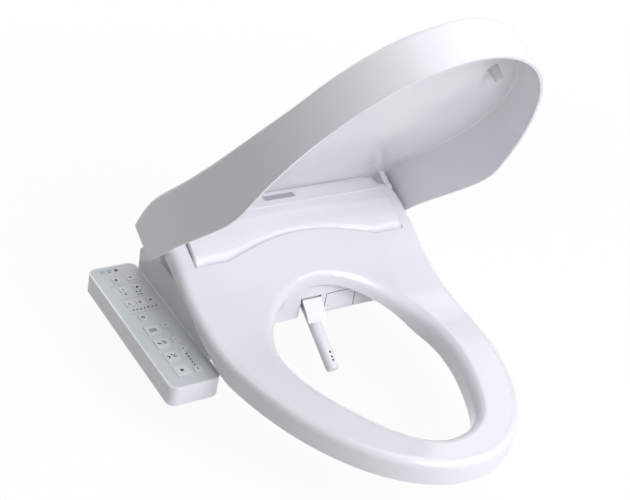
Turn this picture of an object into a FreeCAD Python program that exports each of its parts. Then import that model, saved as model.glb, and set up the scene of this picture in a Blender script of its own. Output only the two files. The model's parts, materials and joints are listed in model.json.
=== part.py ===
import FreeCAD, Part
import math
import os
from types import SimpleNamespace

import Sketcher
from FreeCAD import Placement, Rotation, Vector

# Electric bidet seat, in millimetres: X right, Y back, Z up from the bowl's rim.
# The origin lies midway between the two mounting bolts.

driving_sizes = {
    # seat ring
    "seat_half_width": 190, "seat_reach": 440, "seat_top": 41, "seat_underside": 9,
    "seat_wall": 3, "pan_thickness": 4, "seat_edge_radius": 10, "hole_lip_radius": 15,
    "seat_pan_gap": 0.4, "deck_solid_from": -60, "buffer_radius": 11,
    # hinge line
    "hinge_back": 24, "hinge_height": 114, "knuckle_radius": 9.5, "hinge_pin_radius": 5,
    "pin_clearance": 0.05, "lug_radius": 10.5, "arm_inner": 167, "lug_inner": 178.5,
    "lug_width": 9, "notch_radius": 13, "seat_knuckle_end": 178,
    # lid
    "lid_margin": 7, "lid_wall": 3.2, "lid_rim": 9.5, "lid_rear": 61, "lid_notch_half": 165,
    "lid_notch_back": 27, "lid_edge_radius": 6, "lid_angle": 59.8, "lid_bumper_play": 0.8,
    # base and cover
    "cover_half": 163, "cover_foot": 70, "cover_top": 127.8, "cover_wall": 3, "cover_back": 48,
    "cover_front": -46.5, "wave_half": 122, "wave_depth": 21.5, "deck_gap": 1.5,
    "base_half": 178.5, "base_front": -80, "base_back": 80, "base_wall": 3, "floor_height": 10,
    "wing_tip": -120, "bay_left": -15.5, "bay_right": 17.5, "bay_top": 31, "bay_depth": 27,
    "bay_corner": 5, "door_left": 26.5, "door_right": 74.5, "door_top": 30,
    "door_thickness": 1.8, "plate_top": 126.2, "plate_half": 25,
    # mounting
    "bolt_spacing": 140, "bolt_radius": 4, "bolt_shank": 38, "bolt_reach": 65,
    "thread_radius": 3.7, "bolt_neck": 4.2, "bracket_width": 300, "bracket_depth": 60,
    "bracket_thickness": 4,
    # side panel
    "panel_left": -248.5, "panel_near": -163, "panel_height": 5, "panel_width": 70,
    "panel_length": 258, "panel_depth": 28, "panel_corner": 12, "panel_slope": 3,
    "panel_rim": 2.3, "panel_wall": 2.5, "overlay_thickness": 1, "key_rise": 0.8,
    "key_gap": 0.25, "key_flange": 1.2, "top_wall": 3.4,
    # wand
    "wand_x": 1, "wand_radius": 9.25, "wand_slope": 33, "wand_start": -37, "wand_joint": 36,
    "wand_end": 72.7, "wand_cross_back": -94, "rack_pitch": 8, "rack_width": 6,
    "tooth_module": 1, "pinion_teeth": 14, "pinion_place": -62, "cradle_front": -27,
    "cradle_rear": -148, "cradle_bore": 9.6, "cradle_half": 13,
    # dampers
    "damper_radius": 8.6, "damper_inner": 112, "damper_outer": 158, "shaft_end": 188.5,
}

doc = FreeCAD.newDocument("BidetSeat")
sheet = doc.addObject("Spreadsheet::Sheet", "Sizes")
for row, (alias, value) in enumerate(driving_sizes.items(), start=1):
    sheet.set(f"A{row}", alias.replace("_", " "))
    sheet.set(f"B{row}", str(value))
    sheet.setAlias(f"B{row}", alias)
doc.recompute()


class Size:
    """A number together with the sheet expression that gives it."""

    def __init__(self, value, text):
        self.value = value
        self.text = text

    def join(self, sign, other, value):
        return Size(value, f"({self.text} {sign} {other.text})")

    def __add__(self, other):
        other = sized(other)
        return self.join("+", other, self.value + other.value)

    def __sub__(self, other):
        other = sized(other)
        return self.join("-", other, self.value - other.value)

    def __mul__(self, other):
        other = sized(other)
        return self.join("*", other, self.value * other.value)

    def __truediv__(self, other):
        other = sized(other)
        return self.join("/", other, self.value / other.value)

    def __radd__(self, other):
        return sized(other) + self

    def __rsub__(self, other):
        return sized(other) - self

    def __neg__(self):
        return sized(0) - self

    def __float__(self):
        return float(self.value)


def sized(item):
    """A Size as it is, or a plain number as a Size."""
    if isinstance(item, Size):
        return item
    return Size(float(item), f"({float(item):.6f})")


size = SimpleNamespace(**{name: Size(value, f"Sizes.{name}") for name, value in driving_sizes.items()})
pieces = []


# ---------------------------------------------------------------- helpers

def keep(piece, label):
    """Mark a finished sub-part and give it the label that names its file."""
    piece.Label = label
    pieces.append(piece)
    return piece


def new_body(name):
    return doc.addObject("PartDesign::Body", name)


def sketch(body, role, offset=0):
    """An empty sketch on one of the body's own planes, moved along its normal."""
    drawing = body.newObject("Sketcher::SketchObject", "Sketch")
    plane = [item for item in body.Origin.OriginFeatures if item.Role == role][0]
    drawing.AttachmentSupport = [(plane, "")]
    drawing.MapMode = "FlatFace"
    offset = sized(offset)
    drawing.AttachmentOffset = Placement(Vector(0, 0, offset.value), Rotation())
    drawing.setExpression("AttachmentOffset.Base.z", offset.text)
    return drawing


def pin(drawing, geometry, point, x, y):
    """Hold one point of a sketch at sheet-driven coordinates."""
    for kind, place, line in (("DistanceX", sized(x), -2), ("DistanceY", sized(y), -1)):
        if abs(place.value) < 1e-9:
            drawing.addConstraint(Sketcher.Constraint("PointOnObject", geometry, point, line))
            continue
        number = drawing.addConstraint(
            Sketcher.Constraint(kind, -1, 1, geometry, point, place.value))
        drawing.setExpression(f"Constraints[{number}]", place.text)


def polygon(drawing, corners):
    """A closed outline of straight lines through sheet-driven corners."""
    first = drawing.GeometryCount
    count = len(corners)
    places = [Vector(float(x), float(y), 0) for x, y in corners]
    for index in range(count):
        drawing.addGeometry(Part.LineSegment(places[index], places[(index + 1) % count]))
    for index in range(count):
        following = first + (index + 1) % count
        drawing.addConstraint(Sketcher.Constraint("Coincident", first + index, 2, following, 1))
        pin(drawing, first + index, 1, *corners[index])


def rectangle(drawing, left, low, right, high):
    polygon(drawing, [(left, low), (right, low), (right, high), (left, high)])


def circle(drawing, x, y, radius):
    """A circle with a sheet-driven centre and radius."""
    radius = sized(radius)
    ring = Part.Circle(Vector(float(x), float(y), 0), Vector(0, 0, 1), radius.value)
    index = drawing.addGeometry(ring)
    pin(drawing, index, 3, x, y)
    number = drawing.addConstraint(Sketcher.Constraint("Radius", index, radius.value))
    drawing.setExpression(f"Constraints[{number}]", radius.text)


def edges(drawing, *shapes):
    """Free-form edges, fixed where they were drawn."""
    for shape in shapes:
        index = drawing.addGeometry(shape)
        drawing.addConstraint(Sketcher.Constraint("Block", index))


def spline(points, start=None, end=None):
    """A smooth curve through points, with end directions where they are given."""
    curve = Part.BSplineCurve()
    places = [Vector(float(x), float(y), 0) for x, y in points]
    if start is None:
        curve.interpolate(Points=places)
    else:
        curve.interpolate(Points=places, InitialTangent=Vector(*start, 0),
                          FinalTangent=Vector(*end, 0))
    return curve


def loop_spline(points):
    """A closed smooth curve."""
    curve = Part.BSplineCurve()
    curve.interpolate(Points=[Vector(x, y, 0) for x, y in points], PeriodicFlag=True)
    return curve


def lines(*points):
    places = [Vector(float(x), float(y), 0) for x, y in points]
    return [Part.LineSegment(here, there) for here, there in zip(places, places[1:])]


def pad(body, drawing, length, symmetric=False, reverse=False):
    feature = body.newObject("PartDesign::Pad", "Pad")
    feature.Profile = drawing
    feature.setExpression("Length", sized(length).text)
    feature.SideType = "Symmetric" if symmetric else "One side"
    feature.Reversed = reverse
    doc.recompute()
    return feature


def pocket(body, drawing, depth=None, symmetric=False, reverse=False):
    """Cut a sketch out of the body, right through where no depth is given."""
    before = body.Shape.Volume
    feature = body.newObject("PartDesign::Pocket", "Pocket")
    feature.Profile = drawing
    if depth is None:
        feature.Type = "ThroughAll"
    else:
        feature.setExpression("Length", sized(depth).text)
    feature.SideType = "Symmetric" if symmetric else "One side"
    feature.Reversed = reverse
    doc.recompute()
    if body.Shape.Volume > before - 1e-3:
        raise ValueError(f"a pocket in {body.Name} cuts nothing")
    return feature


def revolve(body, drawing, axis="V_Axis"):
    feature = body.newObject("PartDesign::Revolution", "Revolution")
    feature.Profile = drawing
    feature.ReferenceAxis = (drawing, [axis])
    feature.Angle = 360
    doc.recompute()
    return feature


def fillet(body, radius, wanted):
    """Round the edges whose box passes the test."""
    names = [f"Edge{number}" for number, edge in enumerate(body.Shape.Edges, start=1)
             if wanted(edge.BoundBox)]
    before = body.Tip
    feature = body.newObject("PartDesign::Fillet", "Fillet")
    feature.Base = (before, names)
    feature.setExpression("Radius", sized(radius).text)
    doc.recompute()
    return feature


def upright(box, low=-1e9, high=1e9):
    """True for a vertical edge within a span of heights."""
    straight = box.XLength < 0.01 and box.YLength < 0.01
    return straight and box.ZLength > 0.5 and box.ZMin > low and box.ZMax < high


def boolean(kind, name, base, tool):
    feature = doc.addObject(f"Part::{kind}", name)
    feature.Base = base
    feature.Tool = tool
    doc.recompute()
    return feature


def bar(name, role, radius, start, length, x=0, y=0):
    """A round bar along one axis: its body, ready for more features."""
    body = new_body(name)
    drawing = sketch(body, role, start)
    circle(drawing, x, y, radius)
    pad(body, drawing, length)
    return body


def block(name, left, near, low, right, far, high):
    """A box between two corners."""
    body = new_body(name)
    drawing = sketch(body, "XY_Plane", low)
    rectangle(drawing, left, near, right, far)
    pad(body, drawing, sized(high) - low)
    return body


def place(piece, x, y, z, axis=Vector(0, 0, 1), angle=0):
    """Set a piece down in the object's frame, turned about its own origin."""
    x, y, z = sized(x), sized(y), sized(z)
    piece.Placement = Placement(Vector(x.value, y.value, z.value), Rotation(axis, angle))
    for letter, number in (("x", x), ("y", y), ("z", z)):
        piece.setExpression(f"Placement.Base.{letter}", number.text)


# ---------------------------------------------------------------- outlines

hinge = (float(size.hinge_back), float(size.hinge_height))
straight_from = -60


def ring_outline(margin):
    """The right half of the ring's outline from its tip, moved outwards by a margin."""
    shares = [(0, -1), (0.405, -0.939), (0.726, -0.775), (0.895, -0.591), (0.971, -0.409),
              (0.995, -0.227)]
    across, reach = float(size.seat_half_width), float(size.seat_reach)
    inner = [(across * x, reach * y) for x, y in shares] + [(across, straight_from)]
    return moved(inner, margin, (1, 0), (0, 1))


def moved(points, margin, first, last):
    """Points moved sideways, to the right of the way they run."""
    result = []
    for index, (x, y) in enumerate(points):
        if index == 0:
            along = first
        elif index == len(points) - 1:
            along = last
        else:
            before, after = points[index - 1], points[index + 1]
            along = (after[0] - before[0], after[1] - before[1])
        reach = math.hypot(*along)
        result.append((x + margin * along[1] / reach, y - margin * along[0] / reach))
    return result


def draw_outline(drawing, margin, rear):
    """The ring's closed outline with straight sides back to the rear edge."""
    right = ring_outline(margin)
    around = [(-x, y) for x, y in reversed(right)] + right[1:]
    side = right[-1][0]
    edges(drawing, spline(around, (0, -1), (0, 1)))
    edges(drawing, *lines((side, straight_from), (side, rear), (-side, rear),
                          (-side, straight_from)))


def draw_hole(drawing, margin):
    """The hole's egg outline, made larger by a margin."""
    right = [(0, -391), (48, -370), (78, -325), (104, -262), (113, -200), (93.6, -135),
             (50, -96), (0, -84)]
    inner = moved(right, margin, (1, 0), (-1, 0))
    inner[0] = (0, inner[0][1])
    inner[-1] = (0, inner[-1][1])
    edges(drawing, loop_spline(inner + [(-x, y) for x, y in reversed(inner[1:-1])]))


def wave(x):
    """How far the cover's front is drawn back at x: one in the middle, nought at its ends."""
    share = 1 - (x / float(size.wave_half)) ** 2
    if share <= 0:
        return 0
    return share ** 1.3


def seat_top_curve(drop):
    """The top of ring, deck and arms in side view."""
    ring = float(size.seat_top)
    points = [(-205, ring), (-150, ring + 4.5), (-104, 60), (-75, 74), (-48, 92), (-26, 104.5),
              (-12, 112.5), (3, 118.5), (14, 122), (hinge[0], 123.5)]
    return [(y, z - drop) for y, z in points]


def underside_points(lift):
    """The underside from the flat of the ring back to where the deck is solid."""
    points = [(-190, float(size.seat_underside)), (-143, 21), (-114, 33), (-90, 47),
              (float(size.deck_solid_from), 64)]
    return [(y, z + lift) for y, z in points]


# ---------------------------------------------------------------- seat

far_front = -470
deck_slope = (0.88, 0.475)


def draw_seat_block(drawing):
    """Side view of ring and deck with their smooth top and a level foot."""
    top = seat_top_curve(0)
    edges(drawing, spline(top, (1, 0), (1, 0)))
    edges(drawing, *lines(top[-1], (60, top[-1][1]), (60, 0), (far_front, 0),
                          (far_front, top[0][1]), top[0]))


def draw_seat_underside(drawing, lift):
    """Side view of all that is cut away below the ring and round the knuckles."""
    under = underside_points(lift)
    radius = float(size.knuckle_radius)
    back_under = [(float(size.deck_solid_from), 64), (-37, 75), (-10, 88), (10, 97.5),
                  (hinge[0], hinge[1] - radius)]
    above = (hinge[0], hinge[1] + radius)
    crown = Vector(hinge[0] + radius, hinge[1], 0)
    edges(drawing, spline(under, (1, 0), deck_slope))
    edges(drawing, *lines(under[-1], back_under[0]))
    edges(drawing, spline(back_under, deck_slope, (1, 0)))
    edges(drawing, Part.Arc(Vector(*back_under[-1], 0), crown, Vector(*above, 0)))
    edges(drawing, *lines(above, (hinge[0], 150), (100, 150), (100, -20), (far_front, -20),
                          (far_front, under[0][1]), under[0]))


def trim_to_outline(body, margin, rear):
    """Cut away all that lies outside the ring's outline."""
    drawing = sketch(body, "XY_Plane")
    rectangle(drawing, -300, -520, 300, 130)
    draw_outline(drawing, margin, rear)
    pocket(body, drawing, symmetric=True)


def cut_hole(body, margin):
    drawing = sketch(body, "XY_Plane")
    draw_hole(drawing, margin)
    pocket(body, drawing, symmetric=True)


def on_rim(box):
    """True for the edges of ring and arms that run along their upper side."""
    arm = box.YMin > straight_from - 1
    return box.ZMin > (75 if arm else 30) and box.YMin < 20 and box.YLength > 1


def on_lip(box, margin):
    """True for the edges where the hole meets the ring's top."""
    level = float(size.seat_top) - margin - 1
    narrow = max(abs(box.XMin), abs(box.XMax)) < 116 + margin
    return box.ZMin > level and box.XLength > 5 and narrow and box.YMin > -395 - margin \
        and box.YMax < -80 + margin


def make_seat_outer():
    body = new_body("SeatOuter")
    drawing = sketch(body, "YZ_Plane")
    draw_seat_block(drawing)
    pad(body, drawing, 440, symmetric=True)
    trim_to_outline(body, 0, 40)
    fillet(body, size.seat_edge_radius, lambda box: on_rim(box) and top_edge(box, 0))
    cut_hole(body, 0)
    fillet(body, size.hole_lip_radius, lambda box: on_lip(box, 0))
    drawing = sketch(body, "YZ_Plane")
    draw_seat_underside(drawing, float(size.pan_thickness))
    pocket(body, drawing, symmetric=True)
    return body


def top_edge(box, margin):
    """True for an edge on the outline's wall: its ends lie off the middle of the ring."""
    reach = ring_outline(margin)[-1][0]
    tip = box.YMin < -float(size.seat_reach) + 2
    side = max(abs(box.XMin), abs(box.XMax)) > reach * 0.9
    return tip or (side and box.XLength < 60)


def make_seat_core():
    """The hollow inside the top shell."""
    wall = float(size.seat_wall)
    body = new_body("SeatCore")
    drawing = sketch(body, "YZ_Plane")
    rear = float(size.deck_solid_from) - wall
    top = [(y, z) for y, z in seat_top_curve(wall) if y < rear - 5] + [(rear, 79)]
    under = [(y, z) for y, z in underside_points(1)[:-1]] + [(rear, 63.5)]
    edges(drawing, spline(top, (1, 0), (0.83, 0.55)))
    edges(drawing, *lines(top[-1], under[-1]))
    edges(drawing, spline(under, (1, 0), deck_slope))
    edges(drawing, *lines(under[0], (far_front, under[0][1]), (far_front, top[0][1]), top[0]))
    pad(body, drawing, 440, symmetric=True)
    trim_to_outline(body, -wall, 0)
    fillet(body, size.seat_edge_radius - size.seat_wall, lambda box: on_rim(box)
           and top_edge(box, -wall))
    cut_hole(body, wall)
    fillet(body, size.hole_lip_radius - size.seat_wall, lambda box: on_lip(box, wall))
    return body


def draw_recess(drawing, gap):
    """The deck's wave-shaped rear edge, beside which the cover sits."""
    half = float(size.arm_inner)
    near = float(size.cover_front) - gap
    steps = 24
    reach = float(size.wave_half)
    middle = [(-reach + 2 * reach * step / steps, 0) for step in range(steps + 1)]
    edge = [(x, near + float(size.wave_depth) * wave(x)) for x, _ in middle]
    edges(drawing, spline(edge, (1, 0), (1, 0)))
    edges(drawing, *lines(edge[-1], (half, near), (half, 90), (-half, 90), (-half, near), edge[0]))


def make_seat():
    outer = make_seat_outer()
    core = make_seat_core()
    drawing = sketch(outer, "XY_Plane")
    draw_recess(drawing, float(size.deck_gap))
    pocket(outer, drawing, symmetric=True)
    for side in (-1, 1):
        drawing = sketch(outer, "YZ_Plane", size.seat_knuckle_end * side)
        rectangle(drawing, size.hinge_back - size.notch_radius, 90, 60, 140)
        pocket(outer, drawing, reverse=side > 0)
    drawing = sketch(outer, "YZ_Plane")
    circle(drawing, size.hinge_back, size.hinge_height, size.hinge_pin_radius + size.pin_clearance)
    pocket(outer, drawing, symmetric=True)
    shell = boolean("Cut", "SeatShell", outer, core)
    notch = size.hinge_back - size.notch_radius
    ends = {}
    for side, name in ((-1, "left"), (1, "right")):
        near, far = sorted((160 * side, 200 * side))
        ends[name] = block(f"KnuckleSpace_{name}", near, notch, 90, far, 60, 140)
        knuckle = boolean("Common", f"SeatKnuckle_{name}", shell, ends[name])
        keep(knuckle, f"seat_knuckle_{name}")
    shell = boolean("Cut", "SeatShellLeft", shell, ends["left"])
    keep(boolean("Cut", "SeatTopShell", shell, ends["right"]), "seat_top_shell")

    pan = new_body("SeatPan")
    drawing = sketch(pan, "YZ_Plane")
    under = underside_points(0)
    over = underside_points(float(size.pan_thickness) - 0.05)
    edges(drawing, spline(under, (1, 0), deck_slope), spline(over, (1, 0), deck_slope))
    edges(drawing, *lines(under[-1], over[-1]))
    edges(drawing, *lines(over[0], (far_front, over[0][1]), (far_front, under[0][1]), under[0]))
    pad(pan, drawing, 440, symmetric=True)
    trim_to_outline(pan, -float(size.seat_pan_gap), 0)
    cut_hole(pan, float(size.seat_pan_gap))
    keep(pan, "seat_bottom_shell")

    places = {"front_left": (-112, -330), "front_right": (112, -330),
              "rear_left": (-150, -208), "rear_right": (150, -208)}
    for name, (x, y) in places.items():
        buffer = bar(f"Buffer_{name}", "XY_Plane", size.buffer_radius, 0, size.seat_underside, x, y)
        fillet(buffer, 2, lambda box: box.ZMax < 1)
        keep(buffer, f"seat_bumper_{name}")


# ---------------------------------------------------------------- lid

def lid_top_curve(drop):
    """The closed lid's top in side view."""
    points = [(-330, 62.5), (-263, 69), (-208, 79), (-141, 96), (-63, 121), (-20, 135.5),
              (10, 142), (40, 144.7), (90, 145)]
    return [(y, z - drop) for y, z in points]


def lid_rim_curve():
    """The closed lid's lower rim in side view."""
    return [(-195, float(size.lid_rim)), (-150, 16), (-104, 31), (-62, 46), (-20, 61), (20, 73),
            (90, 94)]


def make_lid_block(name, margin, drop, low, rear, radius):
    """The closed lid's outer or inner form."""
    body = new_body(name)
    drawing = sketch(body, "YZ_Plane")
    top = lid_top_curve(drop)
    edges(drawing, spline(top, (1, 0), (1, 0)))
    if low is None:
        under = lid_rim_curve()
        edges(drawing, spline(under, (1, 0), (1, 0.3)))
        edges(drawing, *lines(top[-1], under[-1]))
        edges(drawing, *lines(under[0], (far_front, under[0][1]), (far_front, top[0][1]), top[0]))
    else:
        edges(drawing, *lines(top[-1], (90, low), (far_front, low), (far_front, top[0][1]), top[0]))
    pad(body, drawing, 440, symmetric=True)
    trim_to_outline(body, margin, rear)
    fillet(body, radius, lambda box: box.ZMin > 50 and box.YMin < box.YMax - 1
           and top_edge(box, margin))
    return body


def open_lid(piece):
    """Swing a piece of the closed lid up to where it rests."""
    turn = Rotation(Vector(-1, 0, 0), float(size.lid_angle))
    piece.Placement = Placement(Vector(0, 0, 0), turn, Vector(0, *hinge))


def make_lid():
    margin, wall = float(size.lid_margin), float(size.lid_wall)
    outer = make_lid_block("LidOuter", margin, 0, None, float(size.lid_rear), size.lid_edge_radius)
    core = make_lid_block("LidCore", margin - wall, wall, -30, 85, size.lid_edge_radius - size.lid_wall)
    drawing = sketch(outer, "XY_Plane")
    rectangle(drawing, -size.lid_notch_half, size.lid_notch_back, size.lid_notch_half, 100)
    pocket(outer, drawing, symmetric=True)
    shell = boolean("Cut", "LidMoulding", outer, core)
    divider = new_body("LidDivider")
    drawing = sketch(divider, "YZ_Plane")
    level = lid_top_curve(float(size.lid_edge_radius) + 0.5)
    edges(drawing, spline(level, (1, 0), (1, 0)))
    edges(drawing, *lines(level[-1], (90, -30), (far_front, -30), (far_front, level[0][1]), level[0]))
    pad(divider, drawing, 460, symmetric=True)
    for kind, name, label in (("Cut", "LidShell", "lid_shell"), ("Common", "LidRim", "lid_rim")):
        half_of_lid = boolean(kind, name, shell, divider)
        open_lid(half_of_lid)
        keep(half_of_lid, label)
    for side, name in ((-1, "left"), (1, "right")):
        keep(make_lid_lug(side, name, core), f"lid_lug_{name}")
        keep(make_lid_bumper(side, name), f"lid_bumper_{name}")


def make_lid_lug(side, name, core):
    """A hinge lug: a boss on the pin with a web up to the lid's inner face."""
    body = new_body(f"Lug_{name}")
    start = size.lug_inner if side > 0 else -size.lug_inner - size.lug_width
    drawing = sketch(body, "YZ_Plane", start)
    circle(drawing, size.hinge_back, size.hinge_height, size.lug_radius)
    pad(body, drawing, size.lug_width)
    drawing = sketch(body, "YZ_Plane", start)
    rectangle(drawing, size.hinge_back - 9, size.hinge_height, size.hinge_back + 9, 160)
    pad(body, drawing, size.lug_width)
    drawing = sketch(body, "YZ_Plane", start)
    circle(drawing, size.hinge_back, size.hinge_height, size.hinge_pin_radius + size.pin_clearance)
    pocket(body, drawing, reverse=True)
    lug = boolean("Common", f"LidLug_{name}", body, core)
    open_lid(lug)
    return lug


def make_lid_bumper(side, name):
    """A soft peg under the lid that meets the ring."""
    body = new_body(f"LidBumper_{name}")
    drawing = sketch(body, "XZ_Plane")
    high = 62.5 - float(size.lid_wall)
    low = size.seat_top + size.lid_bumper_play
    polygon(drawing, [(0, low), (5, low), (7, high), (0, high)])
    revolve(body, drawing)
    turn = Rotation(Vector(-1, 0, 0), float(size.lid_angle))
    around = Placement(Vector(0, 0, 0), turn, Vector(0, *hinge))
    body.Placement = around.multiply(Placement(Vector(96 * side, -350, 0), Rotation()))
    return body


# ---------------------------------------------------------------- base

def make_base():
    body = new_body("BaseHousing")
    front, back, foot = size.base_front, size.base_back, size.cover_foot
    drawing = sketch(body, "YZ_Plane")
    polygon(drawing, [(front, 0), (back, 0), (back, 60), (size.cover_back, foot),
                      (size.cover_front, foot), (size.cover_front - 1.5, foot - 4), (front, 44)])
    pad(body, drawing, size.cover_half * 2, symmetric=True)
    fillet(body, 5, lambda box: box.YMax < -79 and box.ZMin > 40 and box.XLength > 100)

    left = [(size.wing_tip, 0), (size.wing_tip, 8), (-100, 16), (-79, 28), (-56, 42), (-24, 57),
            (0, 61), (70, 57), (back, 48), (back, 0)]
    right = [(front, 0), (front, 28), (-56, 42), (-24, 57), (0, 61), (70, 57), (back, 48), (back, 0)]
    flank = size.base_half - size.cover_half
    for side, profile in ((-1, left), (1, right)):
        start = -size.base_half if side < 0 else size.cover_half - 1
        drawing = sketch(body, "YZ_Plane", start)
        polygon(drawing, profile)
        pad(body, drawing, flank + 1)

    wall = size.base_wall
    drawing = sketch(body, "YZ_Plane")
    polygon(drawing, [(front + wall, size.floor_height), (back - wall, size.floor_height),
                      (back - wall, 56), (size.cover_back - 4, foot - 3),
                      (size.cover_back - 4, foot + 1), (-42, foot + 1), (-42, foot - 3),
                      (front + wall, 42)])
    pocket(body, drawing, (size.cover_half - wall) * 2, symmetric=True)

    cut_front_openings(body)
    cut_underside(body)
    add_supports(body)
    keep(body, "base_housing")


def cut_front_openings(body):
    """The wand's bay, open below, and the opening of the second door."""
    drawing = sketch(body, "XZ_Plane", -size.base_front + 1)
    rectangle(drawing, size.bay_left, -1, size.bay_right, size.bay_top)
    pocket(body, drawing, size.bay_depth)
    drawing = sketch(body, "XZ_Plane", -size.base_front + 1)
    edge, radius = float(size.bay_left), float(size.bay_corner)
    bend = radius * math.sqrt(0.5)
    arc = [Vector(edge - radius, 0, 0), Vector(edge - radius + bend, radius - bend, 0),
           Vector(edge, radius, 0)]
    edges(drawing, Part.Arc(*arc))
    edges(drawing, *lines((edge, radius), (edge, -1), (edge - radius, -1), (edge - radius, 0)))
    pocket(body, drawing, size.bay_depth)
    drawing = sketch(body, "XZ_Plane", -size.base_front + 1)
    rectangle(drawing, size.door_left - 0.4, 2, size.door_right + 0.4, size.door_top + 0.4)
    pocket(body, drawing, 6)


def cut_underside(body):
    """Recesses under the floor for the mounting plate and the bolt heads."""
    drawing = sketch(body, "XY_Plane")
    half = size.bracket_width / 2 + 0.2
    deep = size.bracket_depth / 2 + 0.2
    rectangle(drawing, -half, -deep, half, deep)
    pocket(body, drawing, size.bracket_thickness, reverse=True)
    for side in (-1, 1):
        drawing = sketch(body, "XY_Plane")
        centre = size.bolt_spacing / 2 * side
        rectangle(drawing, centre - 20, -25, centre + 20, 25)
        pocket(body, drawing, size.bracket_thickness + 3.4, reverse=True)


def add_supports(body):
    """Pillars that carry the dampers and a rib that carries the wand's cradle."""
    for side in (-1, 1):
        start = size.damper_inner + 3 if side > 0 else -size.damper_outer + 3
        drawing = sketch(body, "YZ_Plane", start)
        rectangle(drawing, size.hinge_back - 13, size.floor_height - 1, size.hinge_back + 13,
                  size.hinge_height - 4)
        pad(body, drawing, size.damper_outer - size.damper_inner - 6)
    drawing = sketch(body, "YZ_Plane")
    circle(drawing, size.hinge_back, size.hinge_height, size.damper_radius)
    pocket(body, drawing, symmetric=True)

    drawing = sketch(body, "YZ_Plane", size.wand_x - 4)
    polygon(drawing, [(-20, size.floor_height - 1), (22, size.floor_height - 1),
                      (22, cradle_underside(22)), (-20, cradle_underside(-20))])
    pad(body, drawing, 8)


def cradle_underside(y):
    """Height of the cradle's underside at a given depth."""
    slope = math.tan(math.radians(float(size.wand_slope)))
    lower = float(size.cradle_half) / math.cos(math.radians(float(size.wand_slope)))
    return (y - float(size.wand_cross_back)) * slope - lower


# ---------------------------------------------------------------- cover

def cover_section(x, inset):
    """One cross-section of the cover, or of its hollow, as a closed wire at x."""
    ends = [(-46.5, 70), (-46.5, 90), (-43.5, 98), (-35, 106.5), (-23, 113.8), (-8, 120),
            (12.5, 124.6)]
    middle = [(-25, 70), (-25, 96), (-23.5, 104.5), (-18, 110.5), (-10, 114.5), (-1, 119.5),
              (12.5, 124.6)]
    share = wave(x)
    front = [((1 - share) * a[0] + share * b[0], (1 - share) * a[1] + share * b[1])
             for a, b in zip(ends, middle)]
    top, back = float(size.cover_top) - inset, float(size.cover_back) - inset
    foot = float(size.cover_foot) - (1 if inset else 0)
    if inset:
        front = moved(front, inset, (0, 1), (1, 0.3))
        front[0] = (front[0][0], foot)
    outline = [Vector(x, y, z) for y, z in front]
    rise = Part.makeLine(outline[0], outline[1])
    curve = Part.BSplineCurve()
    curve.interpolate(Points=outline[1:], InitialTangent=Vector(0, 0, 1),
                      FinalTangent=Vector(0, 0.97, 0.24))
    crest = [outline[-1], Vector(x, 14, top - 2), Vector(x, 38, top), Vector(x, back - 4, top - 0.3),
             Vector(x, back, top - 5), Vector(x, back, foot)]
    sides = [Part.makeLine(here, there) for here, there in zip(crest, crest[1:])]
    return Part.Wire([rise, curve.toShape(), *sides, Part.makeLine(crest[-1], outline[0])])


def make_cover():
    wall = float(size.cover_wall)
    half = float(size.cover_half)
    reach = float(size.wave_half)
    rising = [1.22, 1.1, 1, 0.9, 0.78, 0.64, 0.48, 0.32, 0.16]
    inner_stations = [-reach * share for share in rising] + [0]
    inner_stations += [reach * share for share in reversed(rising)]
    outer = Part.makeLoft([cover_section(x, 0) for x in [-half, *inner_stations, half]], True)
    hollow_ends = half - wall
    hollow = Part.makeLoft([cover_section(x, wall)
                            for x in [-hollow_ends, *inner_stations, hollow_ends]], True)
    shaft = Part.makeCylinder(float(size.hinge_pin_radius) + 0.5, 2 * half + 10,
                              Vector(-half - 5, *hinge), Vector(1, 0, 0))
    half_plate = float(size.plate_half)
    plate = Part.makeBox(2 * half_plate, 12, 3, Vector(-half_plate, 25, float(size.plate_top)))
    cover = doc.addObject("Part::Feature", "BodyCover")
    cover.Shape = outer.cut(hollow).cut(shaft).cut(plate)
    keep(cover, "body_cover")
    name = block("NamePlate", -size.plate_half, 25, size.plate_top, size.plate_half, 37,
                 size.plate_top + 1)
    keep(name, "name_plate")


# ---------------------------------------------------------------- mounting and water

def make_mounting():
    plate = new_body("MountingPlate")
    drawing = sketch(plate, "XY_Plane")
    half, deep = size.bracket_width / 2, size.bracket_depth / 2
    rectangle(drawing, -half, -deep, half, deep)
    pad(plate, drawing, size.bracket_thickness)
    for side in (-1, 1):
        drawing = sketch(plate, "XY_Plane", size.bracket_thickness + 1)
        centre = size.bolt_spacing / 2 * side
        rectangle(drawing, centre - 4.3, -18, centre + 4.3, 18)
        pocket(plate, drawing)
    fillet(plate, 6, lambda box: upright(box) and abs(box.XMin) > 140)
    keep(plate, "mounting_plate")
    for side, name in ((-1, "left"), (1, "right")):
        centre = size.bolt_spacing / 2 * side
        bolt = bar(f"Bolt_{name}", "XY_Plane", size.bolt_radius, -size.bolt_shank, size.bolt_shank,
                   centre)
        thread = size.bolt_reach - size.bolt_shank
        for radius, low, high in ((size.thread_radius, -size.bolt_reach, thread),
                                  (size.bolt_neck, 0, size.bracket_thickness + 1),
                                  (9, size.bracket_thickness, 3)):
            drawing = sketch(bolt, "XY_Plane", low)
            circle(drawing, centre, 0, radius)
            pad(bolt, drawing, high)
        keep(bolt, f"mounting_bolt_{name}")
        keep(make_nut(name, centre), f"mounting_nut_{name}")


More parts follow.
